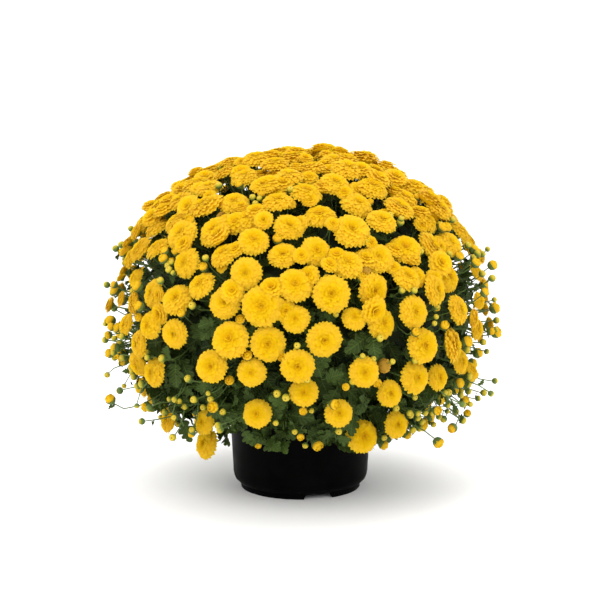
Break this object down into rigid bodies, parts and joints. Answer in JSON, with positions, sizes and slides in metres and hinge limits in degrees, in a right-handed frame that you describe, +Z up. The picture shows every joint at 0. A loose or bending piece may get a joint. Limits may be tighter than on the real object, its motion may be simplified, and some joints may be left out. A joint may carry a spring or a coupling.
{
  "type": "pot chrysanthemum",
  "caption": "Garden chrysanthemum in full yellow flower: a dome of double blooms over lobed green leaves, rooted in soil in a round black nursery pot.",
  "frame": {"origin": "The middle of the pot's foot, on the surface that the pot stands on.", "axes": "+Z is up. -Y is the front of the plant, the side that the picture shows. +X is to the right as seen from the front."},
  "size_m": [0.5604, 0.5619, 0.4951],
  "materials": {
    "petals": "matte",
    "leaves": "matte",
    "pot_plastic": "satin",
    "soil": "matte"
  },
  "bodies": {
    "root": {"bloom_spray_01": "petals", "bloom_spray_02": "petals", "bloom_spray_03": "petals", "bloom_spray_04": "petals", "bloom_spray_05": "petals", "bloom_spray_06": "petals", "bloom_spray_07": "petals", "bloom_spray_08": "petals", "bloom_spray_09": "petals", "bloom_spray_10": "petals", "bloom_spray_11": "petals", "bloom_spray_12": "petals", "bloom_spray_13": "petals", "bloom_spray_14": "petals", "bloom_spray_15": "petals", "bloom_spray_16": "petals", "bloom_spray_17": "petals", "bloom_spray_18": "petals", "bloom_spray_19": "petals", "bloom_spray_20": "petals", "bloom_spray_21": "petals", "bloom_spray_22": "petals", "bloom_spray_23": "petals", "bloom_spray_24": "petals", "bloom_spray_25": "petals", "bloom_spray_26": "petals", "bloom_spray_27": "petals", "bloom_spray_28": "petals", "bloom_spray_29": "petals", "bloom_spray_30": "petals", "bloom_spray_31": "petals", "bloom_spray_32": "petals", "bloom_spray_33": "petals", "bloom_spray_34": "petals", "bloom_spray_35": "petals", "bloom_spray_36": "petals", "bloom_spray_37": "petals", "bloom_spray_38": "petals", "bloom_spray_39": "petals", "bloom_spray_40": "petals", "bloom_spray_41": "petals", "bloom_spray_42": "petals", "bloom_spray_43": "petals", "bloom_spray_44": "petals", "bloom_spray_45": "petals", "bloom_spray_46": "petals", "bloom_spray_47": "petals", "bloom_spray_48": "petals", "bloom_spray_49": "petals", "bloom_spray_50": "petals", "bloom_spray_51": "petals", "bloom_spray_52": "petals", "bloom_spray_53": "petals", "bush": "leaves", "pot": "pot_plastic", "soil": "soil"}
  },
  "joints": []
}
